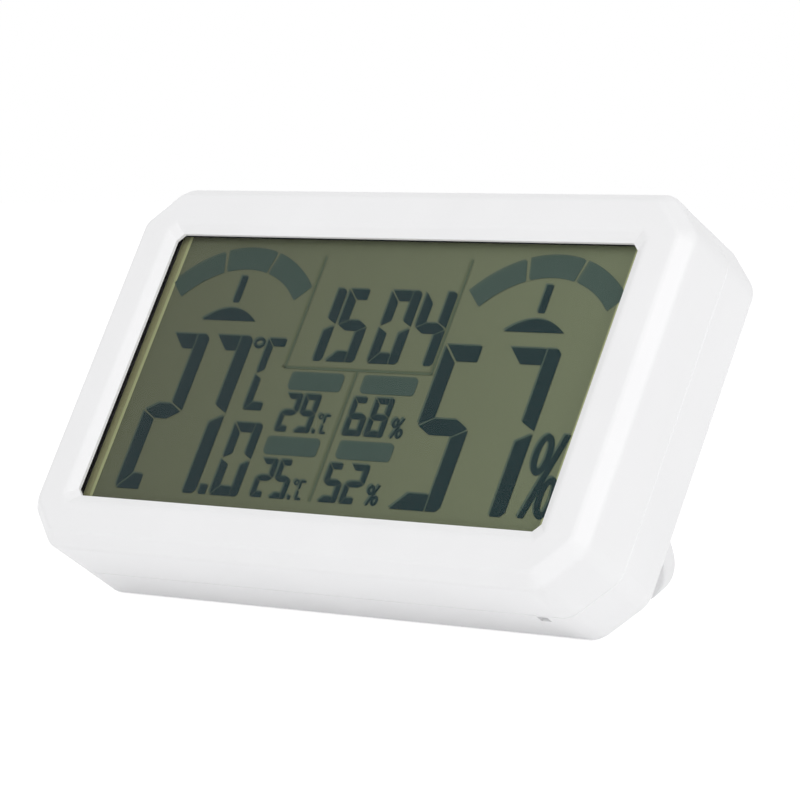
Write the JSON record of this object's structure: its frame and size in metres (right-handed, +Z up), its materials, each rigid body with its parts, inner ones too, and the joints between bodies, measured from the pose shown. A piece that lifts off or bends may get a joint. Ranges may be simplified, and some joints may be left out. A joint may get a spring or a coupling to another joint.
{
  "type": "digital hygrometer",
  "caption": "Desk hygrometer: shallow octagonal-cornered white case with a wide segment display, leaning back on a fold-out frame, with a battery door and buttons behind.",
  "frame": {"origin": "on the table, under the middle of the bounding box, as it stands open", "axes": "+X to the right as seen from the front, +Y to the back, +Z up"},
  "size_m": [0.11, 0.061, 0.0635],
  "materials": {
    "white_abs": "fine satin moulding",
    "button_grey": "satin moulding",
    "clear_acrylic": "polished clear sheet",
    "black_foam": "matt",
    "display_glass": "polished, olive grey behind",
    "display_backing": "matt olive grey reflector",
    "contact_rubber": "striped silicone",
    "carrier_plastic": "matt moulding",
    "board_green": "solder mask",
    "black_epoxy": "poured epoxy",
    "sensor_white": "matt",
    "can_steel": "drawn can",
    "capacitor_tan": "sintered",
    "black_plastic": "matt",
    "cell_jacket": "printed film jacket",
    "nickel_plate": "nickel plated",
    "screw_steel": "zinc plated"
  },
  "bodies": {
    "case": {"front_case": "white_abs", "rear_case": "white_abs", "display_window": "clear_acrylic", "window_gasket": "black_foam", "front_glass": "display_glass", "rear_glass": "display_backing", "contact_strips": "contact_rubber", "glass_carrier": "carrier_plastic", "main_board": "board_green", "controller_blob": "black_epoxy", "humidity_sensor": "sensor_white", "timing_crystal": "can_steel", "chip_capacitors": "capacitor_tan", "buzzer": "black_plastic", "switch_bodies": "black_plastic", "upper_cell": "cell_jacket", "lower_cell": "cell_jacket", "bridge_contact": "nickel_plate", "positive_contact": "nickel_plate", "negative_contact": "nickel_plate", "upper_spring": "nickel_plate", "lower_spring": "nickel_plate", "case_screws": "screw_steel", "board_screws": "screw_steel"},
    "stand": {"kickstand": "white_abs"},
    "door": {"battery_door": "white_abs"},
    "mode_key": {"mode_button": "button_grey", "mode_plunger": "black_plastic"},
    "up_key": {"up_button": "button_grey", "up_plunger": "black_plastic"},
    "down_key": {"down_button": "button_grey", "down_plunger": "black_plastic"}
  },
  "joints": [
    {"name": "stand_fold", "type": "hinge", "parent": "case", "child": "stand", "pos_m": [0, 0.00968, 0.04358], "axis": [1, 0, 0], "range_deg": [-54.68, 0]},
    {"name": "door_lift", "type": "slide", "parent": "case", "child": "door", "axis": [0, 0.8643, -0.503], "range_m": [0, 0.015]},
    {"name": "mode_press", "type": "slide", "parent": "case", "child": "mode_key", "axis": [0, -0.8643, 0.503], "range_m": [0, 0.0005], "stiffness_N_per_m": 2000},
    {"name": "up_press", "type": "slide", "parent": "case", "child": "up_key", "axis": [0, -0.8643, 0.503], "range_m": [0, 0.0005], "stiffness_N_per_m": 2000},
    {"name": "down_press", "type": "slide", "parent": "case", "child": "down_key", "axis": [0, -0.8643, 0.503], "range_m": [0, 0.0005], "stiffness_N_per_m": 2000}
  ]
}
